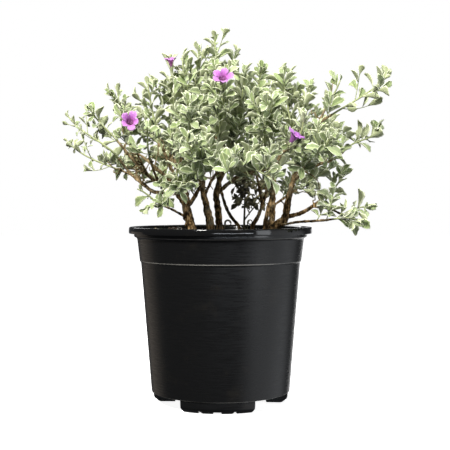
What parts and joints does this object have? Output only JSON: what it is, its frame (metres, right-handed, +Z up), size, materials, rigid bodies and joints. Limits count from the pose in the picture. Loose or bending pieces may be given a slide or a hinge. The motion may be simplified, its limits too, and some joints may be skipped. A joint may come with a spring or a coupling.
{
  "type": "potted texas sage",
  "caption": "Mound-shaped flowering shrub with small grey-green spoon-shaped leaves and purple funnel blooms, in a tapered black nursery pot on feet.",
  "frame": {"origin": "on the floor at the middle of the whole plant's box, which is the pot's axis to within 5 mm", "axes": "+Z up along the pot's axis, -Y towards the viewer of the picture, +X to that viewer's right"},
  "size_m": [0.4324, 0.3541, 0.4917],
  "materials": {
    "pot": "satin near-black moulded plastic",
    "soil": "damp bark mix with white perlite grains",
    "wood": "rough brown bark",
    "withered": "dried dark leaves",
    "leaf": "felted grey-green with pale margins",
    "bloom": "soft purple-pink petals"
  },
  "bodies": {
    "root": {"pot": "pot", "soil": "soil", "stem_left": "wood", "stem_centre_left": "wood", "stem_centre": "wood", "stem_thin_rear": "wood", "stem_thin_front": "wood", "stem_red": "wood", "stem_right": "wood", "stem_rear_left": "wood", "stem_rear_right": "wood", "withered_twig": "withered", "bloom_left": "bloom", "bloom_left_top": "bloom", "bloom_middle": "bloom", "bloom_right": "bloom", "bloom_rear_left": "bloom", "bloom_rear_right": "bloom", "spray_left_high": "leaf", "spray_left_fork": "leaf", "spray_left_back": "leaf", "spray_left_low": "leaf", "spray_left_hanging": "leaf", "spray_left_bloom": "leaf", "spray_left_leader": "leaf", "spray_left_top": "leaf", "spray_left_front": "leaf", "spray_left_front_low": "leaf", "spray_front_left": "leaf", "spray_centre_left_top": "leaf", "spray_centre_left_front": "leaf", "spray_centre_front_high": "leaf", "spray_front_centre": "leaf", "spray_top": "leaf", "spray_top_left_rear": "leaf", "spray_centre_right_top": "leaf", "spray_right_rear": "leaf", "spray_top_right_rear": "leaf", "spray_rear_centre": "leaf", "spray_front_right_low": "leaf", "spray_front_right": "leaf", "spray_right_bloom": "leaf", "spray_right_top": "leaf", "spray_right_shoulder": "leaf", "spray_upper_right": "leaf", "spray_upper_right_shoot": "leaf", "spray_right_middle": "leaf", "spray_right_low_fork": "leaf", "spray_right_low": "leaf", "spray_right_lowest": "leaf", "spray_right_front": "leaf", "spray_right_fill": "leaf", "spray_rear_left": "leaf", "spray_rear_left_low": "leaf", "spray_rear_left_top": "leaf", "spray_left_rear_low": "leaf", "spray_rear_right_top": "leaf", "spray_rear_right_low": "leaf", "spray_rear_middle_low": "leaf", "spray_right_rear_low": "leaf"}
  },
  "joints": []
}
